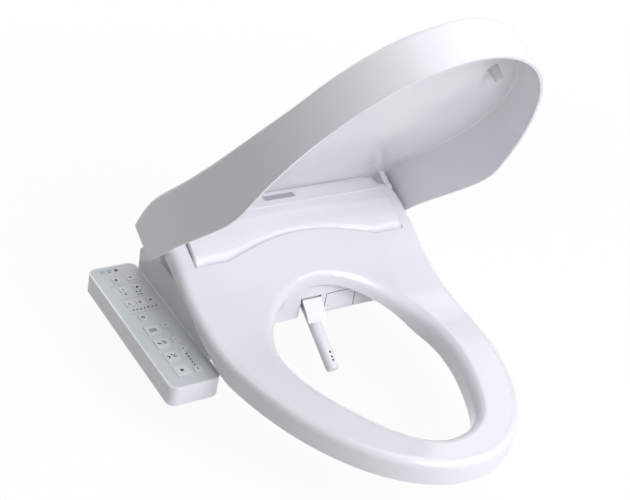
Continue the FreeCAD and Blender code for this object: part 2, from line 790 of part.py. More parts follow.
def make_nut(name, centre):
    """A winged plastic nut that is turned by hand under the bowl."""
    nut = bar(f"Nut_{name}", "XY_Plane", 11, -56, 16, centre)
    for wing in (-1, 1):
        drawing = sketch(nut, "XY_Plane", -56)
        tip = centre + 18 * wing
        root = centre + 8 * wing
        corners = [(root, -2.5), (tip, -2.5), (tip, 2.5), (root, 2.5)]
        polygon(drawing, corners if wing > 0 else corners[::-1])
        pad(nut, drawing, 16)
    drawing = sketch(nut, "XY_Plane", -39)
    circle(drawing, centre, 0, size.thread_radius + 0.02)
    pocket(nut, drawing)
    return nut


def make_connections():
    """The threaded water inlet and the cord's gland, both on the rear wall."""
    inlet = bar("WaterInlet", "XZ_Plane", 10.2, -size.base_back - 14, 14, -120, 26)
    drawing = sketch(inlet, "XZ_Plane", -size.base_back - 3)
    circle(drawing, -120, 26, 14)
    pad(inlet, drawing, 3)
    drawing = sketch(inlet, "XZ_Plane", -size.base_back + 2)
    circle(drawing, -120, 26, 7)
    pocket(inlet, drawing)
    keep(inlet, "water_inlet")
    gland = bar("CordGland", "XZ_Plane", 8, -size.base_back - 9, 9, 120, 26)
    drawing = sketch(gland, "XZ_Plane", -size.base_back)
    circle(drawing, 120, 26, 3.5)
    pocket(gland, drawing)
    fillet(gland, 2, lambda box: box.YMin > float(size.base_back) + 8 and box.XLength > 12)
    keep(gland, "cord_gland")


def make_hinges():
    for side, name in ((-1, "left"), (1, "right")):
        start = size.damper_inner if side > 0 else -size.damper_outer
        damper = bar(f"Damper_{name}", "YZ_Plane", size.damper_radius, start,
                     size.damper_outer - size.damper_inner, size.hinge_back, size.hinge_height)
        keep(damper, f"damper_{name}")
        start = size.damper_outer if side > 0 else -size.shaft_end
        shaft = bar(f"Shaft_{name}", "YZ_Plane", size.hinge_pin_radius, start,
                    size.shaft_end - size.damper_outer, size.hinge_back, size.hinge_height)
        keep(shaft, f"hinge_shaft_{name}")


def make_inner_works():
    """Heater tank, valve and circuit board on the base's floor."""
    floor = size.floor_height
    tank = block("HeaterTank", -108, -52, floor, -28, 20, floor + 42)
    fillet(tank, 6, upright)
    keep(tank, "heater_tank")
    valve = block("SolenoidValve", -62, 32, floor, -34, 60, floor + 18)
    drawing = sketch(valve, "XY_Plane", floor + 17)
    circle(drawing, -48, 46, 10)
    pad(valve, drawing, 20)
    keep(valve, "solenoid_valve")
    board = block("MainBoard", 46, -25, floor + 6, 106, 60, floor + 7.6)
    for x, y in ((50, -21), (102, -21), (50, 56), (102, 56)):
        drawing = sketch(board, "XY_Plane", floor)
        circle(drawing, x, y, 3)
        pad(board, drawing, 6.5)
    for left, near, width, depth, height in ((55, 20, 18, 14, 14), (80, 30, 20, 20, 9),
                                            (56, -10, 26, 12, 6)):
        drawing = sketch(board, "XY_Plane", floor + 7)
        rectangle(drawing, left, near, left + width, near + depth)
        pad(board, drawing, height)
    keep(board, "main_board")


# ---------------------------------------------------------------- wand

def set_along_wand(piece):
    """Lay a piece on the wand's slope: its Z runs outwards, its Y points up from it."""
    down = Rotation(Vector(1, 0, 0), 90 + float(size.wand_slope))
    place(piece, size.wand_x, size.wand_cross_back, 0)
    piece.Placement = Placement(piece.Placement.Base, down)


def make_wand():
    wand = bar("Wand", "XY_Plane", size.wand_radius, size.wand_start,
               size.wand_joint - size.wand_start)
    cut_rack_flat(wand)
    set_along_wand(wand)
    keep(wand, "nozzle_wand")

    tip = bar("WandTip", "XY_Plane", size.wand_radius, size.wand_joint,
              size.wand_end - size.wand_joint)
    fillet(tip, 3.5, lambda box: box.ZMin > float(size.wand_end) - 0.5 and box.XLength > 10)
    drawing = sketch(tip, "XZ_Plane", -12)
    for along in (49.2, 56, 61):
        circle(drawing, 0, along, 1.6)
    pocket(tip, drawing, 7, reverse=True)
    set_along_wand(tip)
    keep(tip, "nozzle_tip")
    make_rack()
    make_pinion()
    make_cradle()


def cut_rack_flat(wand):
    """A slot along the wand's underside that takes the rack."""
    drawing = sketch(wand, "XY_Plane", size.wand_joint + 1)
    half = size.rack_width / 2
    rectangle(drawing, -half, -12, half, -size.rack_pitch + 2.2)
    pocket(wand, drawing)


def make_rack():
    """A toothed bar in the slot, with a tail behind the wand."""
    module = float(size.tooth_module)
    pitch = math.pi * module
    line = float(size.rack_pitch)
    middle = float(size.pinion_place)
    count = 32
    slope = math.tan(math.radians(20))
    play = 0.08
    start = middle - 1.5 * pitch
    corners = [(start - 2, 2.2 - line)]
    corners.append((start - 2, -line + module * 1.15))
    for tooth in range(count):
        centre = start + pitch * (tooth + 0.5)
        root = pitch / 4 - play + module * 1.15 * slope
        crown = pitch / 4 - play - module * 0.9 * slope
        corners.append((centre - root, -line + module * 1.15))
        corners.append((centre - crown, -line - module * 0.9))
        corners.append((centre + crown, -line - module * 0.9))
        corners.append((centre + root, -line + module * 1.15))
    end = start + pitch * count + 1
    corners.append((end, -line + module * 1.15))
    corners.append((end, 2.2 - line))
    wide = float(size.rack_width) - 0.2
    places = [Vector(-wide / 2, y, z) for z, y in corners]
    face = Part.Face(Part.makePolygon(places + [places[0]]))
    rack = doc.addObject("Part::Feature", "Rack")
    rack.Shape = face.extrude(Vector(wide, 0, 0))
    set_along_wand(rack)
    keep(rack, "nozzle_rack")


def involute(base, angle):
    """A point of the involute of a base circle, as seen along its start."""
    x = base * (math.cos(angle) + angle * math.sin(angle))
    y = base * (math.sin(angle) - angle * math.cos(angle))
    return x, y


def make_pinion():
    """An involute pinion that drives the rack."""
    module, teeth = float(size.tooth_module), int(float(size.pinion_teeth))
    pitch_radius = module * teeth / 2
    base = pitch_radius * math.cos(math.radians(20))
    crown, root = pitch_radius + module * 0.9, pitch_radius - module * 1.2
    play = 0.1 / pitch_radius
    roll_at = [math.sqrt((radius / base) ** 2 - 1) for radius in (pitch_radius, crown)]
    lean = roll_at[0] - math.atan(roll_at[0])
    half_tooth = math.pi / (2 * teeth) - play + lean
    flank = [involute(base, roll_at[1] * step / 5) for step in range(6)]
    shapes = []
    for tooth in range(teeth):
        turn = 2 * math.pi * (tooth + 0.5) / teeth
        rising = [turned(point, turn - half_tooth) for point in flank]
        falling = [turned((x, -y), turn + half_tooth) for x, y in reversed(flank)]
        foot_in = turned((root, 0), turn - half_tooth)
        foot_out = turned((root, 0), turn + half_tooth)
        next_foot = turned((root, 0), turn + 2 * math.pi / teeth - half_tooth)
        shapes += [item.toShape() for item in lines(foot_in, rising[0])]
        shapes.append(spline(rising).toShape())
        shapes += [item.toShape() for item in lines(rising[-1], falling[0])]
        shapes.append(spline(falling).toShape())
        shapes += [item.toShape() for item in lines(falling[-1], foot_out)]
        shapes += [item.toShape() for item in lines(foot_out, next_foot)]
    face = Part.Face(Part.Wire(Part.__sortEdges__(shapes)))
    solid = face.extrude(Vector(0, 0, float(size.rack_width)))
    solid = solid.cut(Part.makeCylinder(1.55, 30, Vector(0, 0, -5)))
    pinion = doc.addObject("Part::Feature", "Pinion")
    pinion.Shape = solid
    # the pinion's axis runs along X, level with the rack's pitch line
    down = Rotation(Vector(1, 0, 0), 90 + float(size.wand_slope))
    offset = down.multVec(Vector(0, -float(size.rack_pitch) - pitch_radius, float(size.pinion_place)))
    centre = Vector(float(size.wand_x), float(size.wand_cross_back), 0) + offset
    face_rack = Rotation(Vector(1, 0, 0), float(size.wand_slope)).multiply(
        Rotation(Vector(0, 1, 0), 90))
    half = Vector(float(size.rack_width) / 2, 0, 0)
    pinion.Placement = Placement(centre - half, face_rack)
    keep(pinion, "drive_pinion")
    motor = bar("NozzleMotor", "YZ_Plane", 10, size.wand_x + 13.5, 18, centre.y, centre.z)
    drawing = sketch(motor, "YZ_Plane", size.wand_x - 4)
    circle(drawing, centre.y, centre.z, 1.5)
    pad(motor, drawing, 18)
    drawing = sketch(motor, "YZ_Plane", size.wand_x + 15)
    rectangle(drawing, centre.y - 7, size.floor_height, centre.y + 7, centre.z)
    pad(motor, drawing, 15)
    keep(motor, "nozzle_motor")


def turned(point, angle):
    x, y = point
    return x * math.cos(angle) - y * math.sin(angle), x * math.sin(angle) + y * math.cos(angle)


def make_cradle():
    """A slotted guide on the wand's slope."""
    half = size.cradle_half
    cradle = new_body("Cradle")
    drawing = sketch(cradle, "XY_Plane", size.cradle_rear)
    rectangle(drawing, -half, -half, half, half)
    pad(cradle, drawing, size.cradle_front - size.cradle_rear)
    drawing = sketch(cradle, "XY_Plane", 0)
    circle(drawing, 0, 0, size.cradle_bore)
    pocket(cradle, drawing)
    drawing = sketch(cradle, "XY_Plane", 0)
    rectangle(drawing, -4.5, -12.2, 4.5, -5)
    pocket(cradle, drawing)
    drawing = sketch(cradle, "XY_Plane", size.pinion_place + 11)
    rectangle(drawing, -6, -15, 14, -4)
    pocket(cradle, drawing, 22)
    set_along_wand(cradle)
    keep(cradle, "nozzle_cradle")


def make_doors():
    """The flap that the wand lifts, and the flush door beside it."""
    flap = new_body("Flap")
    drawing = sketch(flap, "YZ_Plane", -14)
    top, fold, lip = (-81.5, 28.5), (-97.2, 14.8), (-103.6, 5.8)
    thick = 1.6
    outer = [top, fold, lip]
    inner = [(lip[0] + thick * 0.9, lip[1] + 0.9), (fold[0] + thick * 0.9, fold[1] - thick * 0.8),
             (top[0] + 0.2, top[1] - 2)]
    polygon(drawing, outer + inner)
    pad(flap, drawing, 30)
    drawing = sketch(flap, "YZ_Plane", -14)
    circle(drawing, *top, 1.1)
    pad(flap, drawing, 30)
    keep(flap, "nozzle_flap")
    front = size.base_front
    door = new_body("SideDoor")
    barrel = size.door_thickness / 2
    hinge_line = (front + barrel, size.door_top - barrel)
    drawing = sketch(door, "YZ_Plane", size.door_left)
    rectangle(drawing, front, 2.4, front + size.door_thickness, hinge_line[1])
    pad(door, drawing, size.door_right - size.door_left)
    drawing = sketch(door, "YZ_Plane", size.door_left)
    circle(drawing, *hinge_line, barrel)
    pad(door, drawing, size.door_right - size.door_left)
    keep(door, "side_door")


# ---------------------------------------------------------------- side panel

large, small = (19, 18), (10, 10.5)
keys = {
    "key_rear_wash": (28, 111.5, large), "key_front_wash": (28, 84, large),
    "key_dry": (28, 56.5, large), "key_stop": (28, 29, large),
    "key_pressure_up": (48, 116.5, small), "key_pressure_down": (48, 86, small),
    "key_move": (48, 66, small), "key_child": (48, 25, small),
    "key_power": (28, 139.5, small), "key_seat_heat": (23, 171, small),
    "key_water_heat": (38, 171, small), "key_air_heat": (53.5, 171, small),
    "key_light": (28, 202, small), "key_deodorise": (48.5, 202, small),
    "key_save": (28, 224, small), "key_clean": (48.5, 224, small),
}


def on_panel(piece):
    """Set a piece drawn on the level panel down on its slope beside the base."""
    place(piece, size.panel_left, size.panel_near, size.panel_height)
    turn = Rotation(Vector(1, 0, 0), float(size.panel_slope))
    piece.Placement = Placement(piece.Placement.Base, turn)


def rounded_slab(drawing, inset):
    """The panel's outline with rounded corners, moved inwards."""
    inset = float(inset)
    wide, deep = float(size.panel_width) - inset, float(size.panel_length) - inset
    radius = float(size.panel_corner) - inset
    bend = radius * (1 - math.sqrt(0.5))
    corners = [((inset + radius, inset), (inset + bend, inset + bend), (inset, inset + radius)),
               ((inset, deep - radius), (inset + bend, deep - bend), (inset + radius, deep)),
               ((wide - radius, deep), (wide - bend, deep - bend), (wide, deep - radius)),
               ((wide, inset + radius), (wide - bend, inset + bend), (wide - radius, inset))]
    for corner, following in zip(corners, corners[1:] + corners[:1]):
        edges(drawing, Part.Arc(*[Vector(x, y, 0) for x, y in corner]))
        edges(drawing, *lines(corner[-1], following[0]))


def panel_slab(name, inset, low, high):
    """A body of the panel's outline between two heights."""
    body = new_body(name)
    drawing = sketch(body, "XY_Plane", low)
    rounded_slab(drawing, inset)
    pad(body, drawing, sized(high) - low)
    return body


def cut_keys(body, margin):
    """Key openings through a slab."""
    drawing = sketch(body, "XY_Plane", 1)
    for across, along, (wide, deep) in keys.values():
        rectangle(drawing, across - wide / 2 - margin, along - deep / 2 - margin,
                  across + wide / 2 + margin, along + deep / 2 + margin)
    pocket(body, drawing)


lamps = [(18, 238.5), (28, 238.5), (38, 238.5)]
lamp_radius = 1.4


def cut_lamps(body):
    drawing = sketch(body, "XY_Plane", 1)
    for across, along in lamps:
        circle(drawing, across, along, lamp_radius)
    pocket(body, drawing)


def make_panel():
    wall, under_wall = size.panel_wall, -size.top_wall
    foot = -size.panel_depth + 2
    housing = panel_slab("PanelHousing", 0, foot, 0)
    drawing = sketch(housing, "XY_Plane", foot)
    rounded_slab(drawing, wall)
    pocket(housing, drawing, under_wall - foot, reverse=True)
    drawing = sketch(housing, "XY_Plane", 0)
    rounded_slab(drawing, size.panel_rim)
    pocket(housing, drawing, size.overlay_thickness)
    overlay = panel_slab("PanelMembrane", size.panel_rim, -size.overlay_thickness, 0)
    for slab, name in ((housing, "panel_housing"), (overlay, "panel_membrane")):
        cut_keys(slab, size.key_gap)
        cut_lamps(slab)
        on_panel(slab)
        keep(slab, name)

    floor = panel_slab("PanelBase", 0, -size.panel_depth, foot)
    board = new_body("PanelBoard")
    drawing = sketch(board, "XY_Plane", -10)
    rectangle(drawing, 6, 8, size.panel_width - 6, size.panel_length - 8)
    pad(board, drawing, 1.6)
    drawing = sketch(board, "XY_Plane", -8.5)
    for across, along, _ in keys.values():
        rectangle(drawing, across - 3, along - 3, across + 3, along + 3)
    pad(board, drawing, 3.15)
    drawing = sketch(floor, "XY_Plane", foot - 0.5)
    for across in (12, 58):
        for along in (14, 129, 244):
            circle(drawing, across, along, 3)
    pad(floor, drawing, -10 - foot + 0.5)
    for slab, name in ((floor, "panel_base"), (board, "panel_board")):
        on_panel(slab)
        keep(slab, name)

    lens = block("StatusLens", 14, 236, under_wall - 1.2, 42, 241, under_wall)
    drawing = sketch(lens, "XY_Plane", under_wall - 0.5)
    for across, along in lamps:
        circle(drawing, across, along, lamp_radius)
    pad(lens, drawing, size.top_wall + 0.6)
    on_panel(lens)
    keep(lens, "status_lens")
    for name, (across, along, (wide, deep)) in keys.items():
        make_key(name, across, along, wide, deep)


def make_key(name, across, along, wide, deep):
    """A key cap with a flange under the top wall that holds it in."""
    top = -size.top_wall - 0.05
    ledge = size.key_flange
    key = block(name, across - wide / 2, along - deep / 2, top - 0.5,
                across + wide / 2, along + deep / 2, size.key_rise)
    fillet(key, 1.6, upright)
    high = float(size.key_rise) - 0.05
    fillet(key, 0.4, lambda box: box.ZMin > high)
    drawing = sketch(key, "XY_Plane", top - ledge)
    rectangle(drawing, across - wide / 2 - 1, along - deep / 2 - 1,
              across + wide / 2 + 1, along + deep / 2 + 1)
    pad(key, drawing, ledge)
    on_panel(key)
    keep(key, name)


def make_all():
    make_seat()
    make_lid()
    make_base()
    make_cover()
    make_mounting()
    make_connections()
    make_hinges()
    make_inner_works()
    make_wand()
    make_doors()
    make_panel()


make_all()
doc.recompute()
for item in doc.Objects:
    if "Invalid" in item.State or "Error" in item.State:
        raise ValueError(f"{item.Name} failed: {item.State}")
os.makedirs("parts", exist_ok=True)
for piece in pieces:
    if piece.Shape.isNull() or not piece.Shape.isValid():
        raise ValueError(f"{piece.Label} has no sound shape")
    piece.Shape.exportStep(f"parts/{piece.Label}.step")
    print(f"{piece.Label}: {piece.Shape.Volume / 1000:.1f} cm3")
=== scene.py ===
import json
import math
import bpy
from mathutils import Matrix, Vector


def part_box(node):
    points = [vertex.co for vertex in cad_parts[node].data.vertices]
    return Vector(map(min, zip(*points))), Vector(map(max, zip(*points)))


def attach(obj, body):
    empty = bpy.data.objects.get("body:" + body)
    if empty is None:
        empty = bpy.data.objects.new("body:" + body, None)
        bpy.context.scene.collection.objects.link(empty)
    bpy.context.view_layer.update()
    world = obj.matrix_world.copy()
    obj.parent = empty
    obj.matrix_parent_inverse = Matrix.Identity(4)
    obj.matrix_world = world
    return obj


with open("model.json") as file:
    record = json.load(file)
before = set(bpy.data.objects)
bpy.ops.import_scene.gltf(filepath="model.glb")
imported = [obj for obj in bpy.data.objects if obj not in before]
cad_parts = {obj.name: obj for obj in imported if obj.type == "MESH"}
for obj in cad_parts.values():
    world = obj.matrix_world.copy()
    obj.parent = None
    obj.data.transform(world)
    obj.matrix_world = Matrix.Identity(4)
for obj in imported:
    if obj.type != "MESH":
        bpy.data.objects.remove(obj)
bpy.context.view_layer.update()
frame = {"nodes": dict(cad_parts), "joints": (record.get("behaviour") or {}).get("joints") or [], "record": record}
print("frame loaded")

milli = 0.001  # the scene is in metres, the values of the fitted pieces in millimetres
smoothAngle = 30  # degrees


# The output of a shading node, which can be added, multiplied or taken from a number.
class Link:
    def __init__(self, home, socket):
        self.home = home
        self.socket = socket

    def __add__(self, other):
        return self.home.maths("ADD", self, other)

    def __rsub__(self, other):
        return self.home.maths("SUBTRACT", other, self)

    def __mul__(self, other):
        return self.home.maths("MULTIPLY", self, other)


# The shading nodes of a material or of the world.
class NodeSet:
    def __init__(self, tree):
        self.tree = tree

    def node(self, kind, inputs=(), output=0, **settings):
        made = self.tree.nodes.new(kind)
        for name, value in settings.items():
            setattr(made, name, value)
        pairs = inputs.items() if isinstance(inputs, dict) else enumerate(inputs)
        for key, value in pairs:
            self.feed(made.inputs[key], value)
        return Link(self, made.outputs[output])

    def feed(self, socket, value):
        if isinstance(value, Link):
            self.tree.links.new(value.socket, socket)
        else:
            socket.default_value = value

    def maths(self, operation, first, second):
        return self.node("ShaderNodeMath", [first, second], operation=operation)


# A material, with the few textures that its shader takes.
class Finish(NodeSet):
    def __init__(self, name, **fixed):
        self.material = bpy.data.materials.new(name)
        self.material.use_nodes = True
        super().__init__(self.material.node_tree)
        self.shader = self.tree.nodes["Principled BSDF"]
        self.place = self.node("ShaderNodeTexCoord", output="Object")
        self.paint(**fixed)

    def paint(self, **values):
        for name, value in values.items():
            self.feed(self.shader.inputs[name.replace("_", " ")], value)

    def noise(self, place, scale, detail):
        return self.node("ShaderNodeTexNoise",
                         {"Vector": place, "Scale": scale, "Detail": detail})

    def mix(self, share, first, second):
        return self.node("ShaderNodeMix",
                         {"Factor": share, "A": (*first, 1), "B": (*second, 1)},
                         output="Result", data_type="RGBA")

    def bump(self, height, strength, distance):
        return self.node("ShaderNodeBump",
                         {"Height": height, "Strength": strength, "Distance": distance})


moulding = {"cloudScale": 7, "cloudDetail": 3, "peelDetail": 2, "strength": 0.15,
            "coatRough": 0.05}
brushing = {"metallic": 0.7, "detail": 4, "spread": 0.2, "strength": 0.3, "depth": 0.00002}


def moulded(name, tone, shade, rough, spread, peel, peelDepth, coat=0.0):
    finish = Finish(name, Coat_Weight=coat, Coat_Roughness=moulding["coatRough"])
    cloud = finish.noise(finish.place, moulding["cloudScale"], moulding["cloudDetail"])
    fine = finish.noise(finish.place, peel, moulding["peelDetail"])
    finish.paint(Base_Color=finish.mix(cloud, shade, tone),
                 Roughness=cloud * spread + rough,
                 Normal=finish.bump(fine, moulding["strength"], peelDepth))
    return finish.material


def brushed(name, tone, shade, rough, stretch):
    finish = Finish(name, Metallic=brushing["metallic"])
    along = finish.node("ShaderNodeMapping", {"Vector": finish.place, "Scale": stretch})
    grain = finish.noise(along, 1, brushing["detail"])
    finish.paint(Base_Color=finish.mix(grain, shade, tone),
                 Roughness=grain * brushing["spread"] + rough,
                 Normal=finish.bump(grain, brushing["strength"], brushing["depth"]))
    return finish.material


glossWhite = {"tone": (0.86, 0.865, 0.875), "shade": (0.835, 0.84, 0.852), "rough": 0.1,
              "spread": 0.04, "peel": 260, "peelDepth": 0.00002}
satin = {"spread": 0.06, "peel": 500, "peelDepth": 0.00001}
matt = {"spread": 0.1, "peel": 300, "peelDepth": 0.00003}
coarse = {**matt, "peelDepth": 0.00005}
ink = {"rough": 0.4, "spread": 0.05, "peel": 500, "peelDepth": 0.00001}
paleGrey = {"tone": (0.7, 0.7, 0.69), "shade": (0.66, 0.66, 0.65)}

plastics = {
    "body": {"name": "bodyWhite", **glossWhite},
    "seat": {"name": "seatWhite", **glossWhite, "coat": 0.3},
    "lid": {"name": "lidWhite", **glossWhite, "rough": 0.2, "coat": 0.1},
    "cover": {"name": "coverWhite", **glossWhite, "coat": 0.2},
    "panel_shell": {"name": "panelWhite", **glossWhite},
    "flap": {"name": "flapWhite", **glossWhite},
    "wand": {"name": "wandWhite", **glossWhite, "coat": 0.3},
    "lug": {"name": "lugWhite", **glossWhite},
    "overlay": {"name": "overlayGrey", "tone": (0.615, 0.65, 0.655),
                "shade": (0.595, 0.63, 0.635), "rough": 0.38, **satin},
    "key": {"name": "keyPale", "tone": (0.7, 0.727, 0.732), "shade": (0.68, 0.707, 0.712),
            "rough": 0.3, **satin},
    "rubber_part": {"name": "rubberDark", "tone": (0.05, 0.05, 0.05),
                    "shade": (0.035, 0.035, 0.035), "rough": 0.6, **matt},
    "circuit": {"name": "boardGreen", "tone": (0.03, 0.14, 0.06), "shade": (0.02, 0.1, 0.045),
                "rough": 0.45, **matt},
    "buffer": {"name": "bufferSoft", **paleGrey, "rough": 0.6, **coarse},
    "bracket": {"name": "bracketPlain", **paleGrey, "rough": 0.45, **coarse},
    "print": {"name": "printDark", "tone": (0.028, 0.031, 0.033),
              "shade": (0.02, 0.023, 0.025), **ink},
    "faintPrint": {"name": "printFaint", "tone": (0.3, 0.33, 0.34), "shade": (0.27, 0.3, 0.31),
                   **ink}}
metals = {
    "plate": {"name": "barePlate", "tone": (0.62, 0.63, 0.65), "shade": (0.5, 0.51, 0.53),
              "rough": 0.3, "stretch": (40, 3000, 3000)},
    "steel": {"name": "steelPlain", "tone": (0.62, 0.62, 0.63), "shade": (0.52, 0.52, 0.53),
              "rough": 0.25, "stretch": (300, 300, 1500)}}
# These slots take the finish of another.
borrowed = {"nut": "bracket", "inner": "bracket", "motor": "steel", "valve": "rubber_part",
            "brass_fitting": "steel", "lens": "key", "gear": "bracket"}

finishes = {slot: moulded(**facts) for slot, facts in plastics.items()}
finishes.update({slot: brushed(**facts) for slot, facts in metals.items()})
for part in frame["record"]["subparts"]:
    slotName = part["material_slot"]
    node = frame["nodes"][part["node"]]
    node.data.materials.clear()
    node.data.materials.append(finishes[borrowed.get(slotName, slotName)])
print("finishes set")


def deselect():
    bpy.ops.object.select_all(action="DESELECT")


studio = {"floorDrop": 0.075, "floorSize": 12, "floorRough": 0.6,
          "floorColour": 0.6, "floorSeen": 1.0,  # lit by the lamps, and as the camera sees it
          "shadowShare": 0.08, "fadeFrom": 0.5, "fadeTo": 1.8,  # the shadow, near and far
          "worldLight": 0.1,
          "seenBy": ("Is Camera Ray", "Is Glossy Ray", "Is Transmission Ray"),
          "cool": (0.915, 0.915, 1.0), "plain": (0.985, 0.985, 1.0),
          "aim": (0, -0.15, 0.1),  # every lamp points here
          "lamps": {"frontLight": {"place": (0, -2.14, 1.25), "size": 1.5, "power": 33,
                                   "tint": "cool"},
                    "sideLight": {"place": (1.0, -1.6, 1.6), "size": 1.5, "power": 17,
                                  "tint": "cool"},
                    "backRight": {"place": (0.95, 1.0, 1.85), "size": 1.5, "power": 8.5,
                                  "tint": "cool"},
                    "backLeft": {"place": (-0.95, 1.0, 1.85), "size": 1.5, "power": 6.5,
                                 "tint": "plain"},
                    "rearLight": {"place": (0, 2.1, 1.5), "size": 1.8, "power": 9,
                                  "tint": "plain"},
                    "topLight": {"place": (0, -0.6, 2.3), "size": 1.5, "power": 9,
                                 "tint": "plain"}}}


# One for the rays that see the plain background, nought for those that light the scene.
def seenRay(nodes):
    ray, *others = [nodes.node("ShaderNodeLightPath", output=kind) for kind in studio["seenBy"]]
    for other in others:
        ray = nodes.maths("MAXIMUM", ray, other)
    return ray


def layFloor():
    deselect()
    bpy.ops.mesh.primitive_plane_add(size=studio["floorSize"],
                                     location=(0, 0, -studio["floorDrop"]))
    floor = bpy.context.object
    floor.name = "studioFloor"
    finish = Finish("floorPale", Roughness=studio["floorRough"])
    ray = seenRay(finish)
    grey, pale = (studio["floorColour"],) * 3, (studio["floorSeen"],) * 3
    finish.paint(Base_Color=finish.mix(ray, grey, pale))
    plain = Link(finish, finish.shader.outputs[0])
    white = finish.node("ShaderNodeEmission", {"Color": (1, 1, 1, 1), "Strength": 1.0})
    distance = finish.node("ShaderNodeVectorMath", [finish.place], output="Value",
                           operation="LENGTH")
    share = finish.node("ShaderNodeMapRange",
                        {"Value": distance, "From Min": studio["fadeFrom"],
                         "From Max": studio["fadeTo"], "To Min": studio["shadowShare"],
                         "To Max": 0.0})
    shown = finish.node("ShaderNodeMixShader", [ray * (1 - share), plain, white])
    below = finish.node("ShaderNodeNewGeometry", output="Backfacing")
    clear = finish.node("ShaderNodeBsdfTransparent")  # so that the underside can be seen
    either = finish.node("ShaderNodeMixShader", [below, shown, clear])
    output = finish.tree.nodes["Material Output"]
    finish.feed(output.inputs["Surface"], either)
    floor.data.materials.append(finish.material)


def hangLamps():
    for name, facts in studio["lamps"].items():
        bpy.ops.object.light_add(type="AREA", location=facts["place"])
        lamp = bpy.context.object
        lamp.name = name
        lamp.data.size = facts["size"]
        lamp.data.energy = facts["power"]
        lamp.data.color = studio[facts["tint"]]
        towards = Vector(studio["aim"]) - Vector(facts["place"])
        lamp.rotation_euler = towards.to_track_quat("-Z", "Y").to_euler()


def lightWorld():
    world = bpy.data.worlds.new("studioWorld")
    bpy.context.scene.world = world
    world.use_nodes = True
    nodes = NodeSet(world.node_tree)
    level = nodes.node("ShaderNodeMapRange",
                       {"Value": seenRay(nodes), "To Min": studio["worldLight"],
                        "To Max": 1.0})
    back = nodes.tree.nodes["Background"]
    nodes.feed(back.inputs["Strength"], level)
    nodes.feed(back.inputs["Color"], (1, 1, 1, 1))


def buildStudio():
    layFloor()
    hangLamps()
    lightWorld()
    print("studio built")


camera = {"place": (-0.7994, -1.0818, 0.8484), "azimuth": -38.31, "elevation": 30.14,
          "roll": 10.47, "lens": 64.27, "sensor": 36}


def placeCamera():
    turn, rise = math.radians(camera["azimuth"]), math.radians(camera["elevation"])
    roll = math.radians(camera["roll"])
    back = Vector((math.sin(turn) * math.cos(rise), -math.cos(turn) * math.cos(rise),
                   math.sin(rise)))
    level = Vector((math.cos(turn), math.sin(turn), 0))
    upright = back.cross(level)
    right = level * math.cos(roll) + upright * math.sin(roll)
    up = upright * math.cos(roll) - level * math.sin(roll)
    bpy.ops.object.camera_add(location=camera["place"])
    eye = bpy.context.object
    facing = Matrix((right, up, back)).transposed().to_4x4()
    eye.matrix_world = Matrix.Translation(camera["place"]) @ facing
    eye.data.lens = camera["lens"]
    eye.data.sensor_width = camera["sensor"]
    bpy.context.scene.camera = eye
    bpy.context.scene.view_settings.view_transform = "Standard"
    print("camera placed")


def jointAxis(name):
    return next(Vector(joint["axis"]) for joint in frame["joints"] if joint["name"] == name)


# Selects the edges for which chosen(first end, second end) is true and bevels them.
def bevelEdges(piece, chosen, offset, segments):
    bpy.ops.object.mode_set(mode="EDIT")
    bpy.ops.mesh.select_all(action="DESELECT")
    bpy.ops.object.mode_set(mode="OBJECT")
    for edge in piece.data.edges:
        first, second = [piece.data.vertices[index].co for index in edge.vertices]
        edge.select = chosen(first, second)
    bpy.ops.object.mode_set(mode="EDIT")
    bpy.ops.mesh.select_mode(type="EDGE")
    bpy.ops.mesh.bevel(offset=offset, segments=segments)
    bpy.ops.object.mode_set(mode="OBJECT")


# The marks below stand on z 0 at (u, v). All their sizes are in millimetres.
marking = {"round": 0.4, "barSegments": 4, "discSides": 20, "ringSides": 24, "ringFacets": 6,
           "strokeFacets": 1, "strokeSteps": 3}


def bar(u, v, wide, deep, high, turn=0.0, rounding=marking["round"]):
    size = (wide * milli, deep * milli, high * milli)
    bpy.ops.mesh.primitive_cube_add(size=1, location=(u * milli, v * milli, size[2] / 2),
                                    rotation=(0, 0, turn), scale=size)
    piece = bpy.context.object
    bpy.ops.object.transform_apply(location=False, rotation=False, scale=True)
    bevelEdges(piece, lambda first, second: abs(first.z - second.z) > size[2] / 2,
               rounding * min(wide, deep) * milli, marking["barSegments"])
    return piece


def disc(u, v, radius, high):
    bpy.ops.mesh.primitive_cylinder_add(vertices=marking["discSides"], radius=radius * milli,
                                        depth=high * milli,
                                        location=(u * milli, v * milli, high * milli / 2))
    return bpy.context.object


def ring(u, v, radius, wide, high):
    bpy.ops.mesh.primitive_torus_add(major_radius=radius * milli, minor_radius=wide * milli / 2,
                                     major_segments=marking["ringSides"],
                                     minor_segments=marking["ringFacets"],
                                     location=(u * milli, v * milli, high * milli / 2))
    return bpy.context.object


# A line through the places, flattened to the thickness of print.
def stroke(places, wide, high):
    bpy.ops.curve.primitive_nurbs_path_add()
    path = bpy.context.object
    points = path.data.splines[0].points
    for index, point in enumerate(points):
        reach = index / (len(points) - 1) * (len(places) - 1)
        start = min(int(reach), len(places) - 2)
        here, there = Vector(places[start]), Vector(places[start + 1])
        point.co = (*(here.lerp(there, reach - start) * milli), 0, 1)
    path.data.bevel_depth = wide * milli / 2
    path.data.bevel_resolution = marking["strokeFacets"]
    path.data.resolution_u = marking["strokeSteps"]
    path.data.use_fill_caps = True
    bpy.ops.object.convert(target="MESH")
    piece = bpy.context.object
    piece.scale.z = high / wide
    piece.location.z = high * milli / 2
    bpy.ops.object.transform_apply()
    return piece


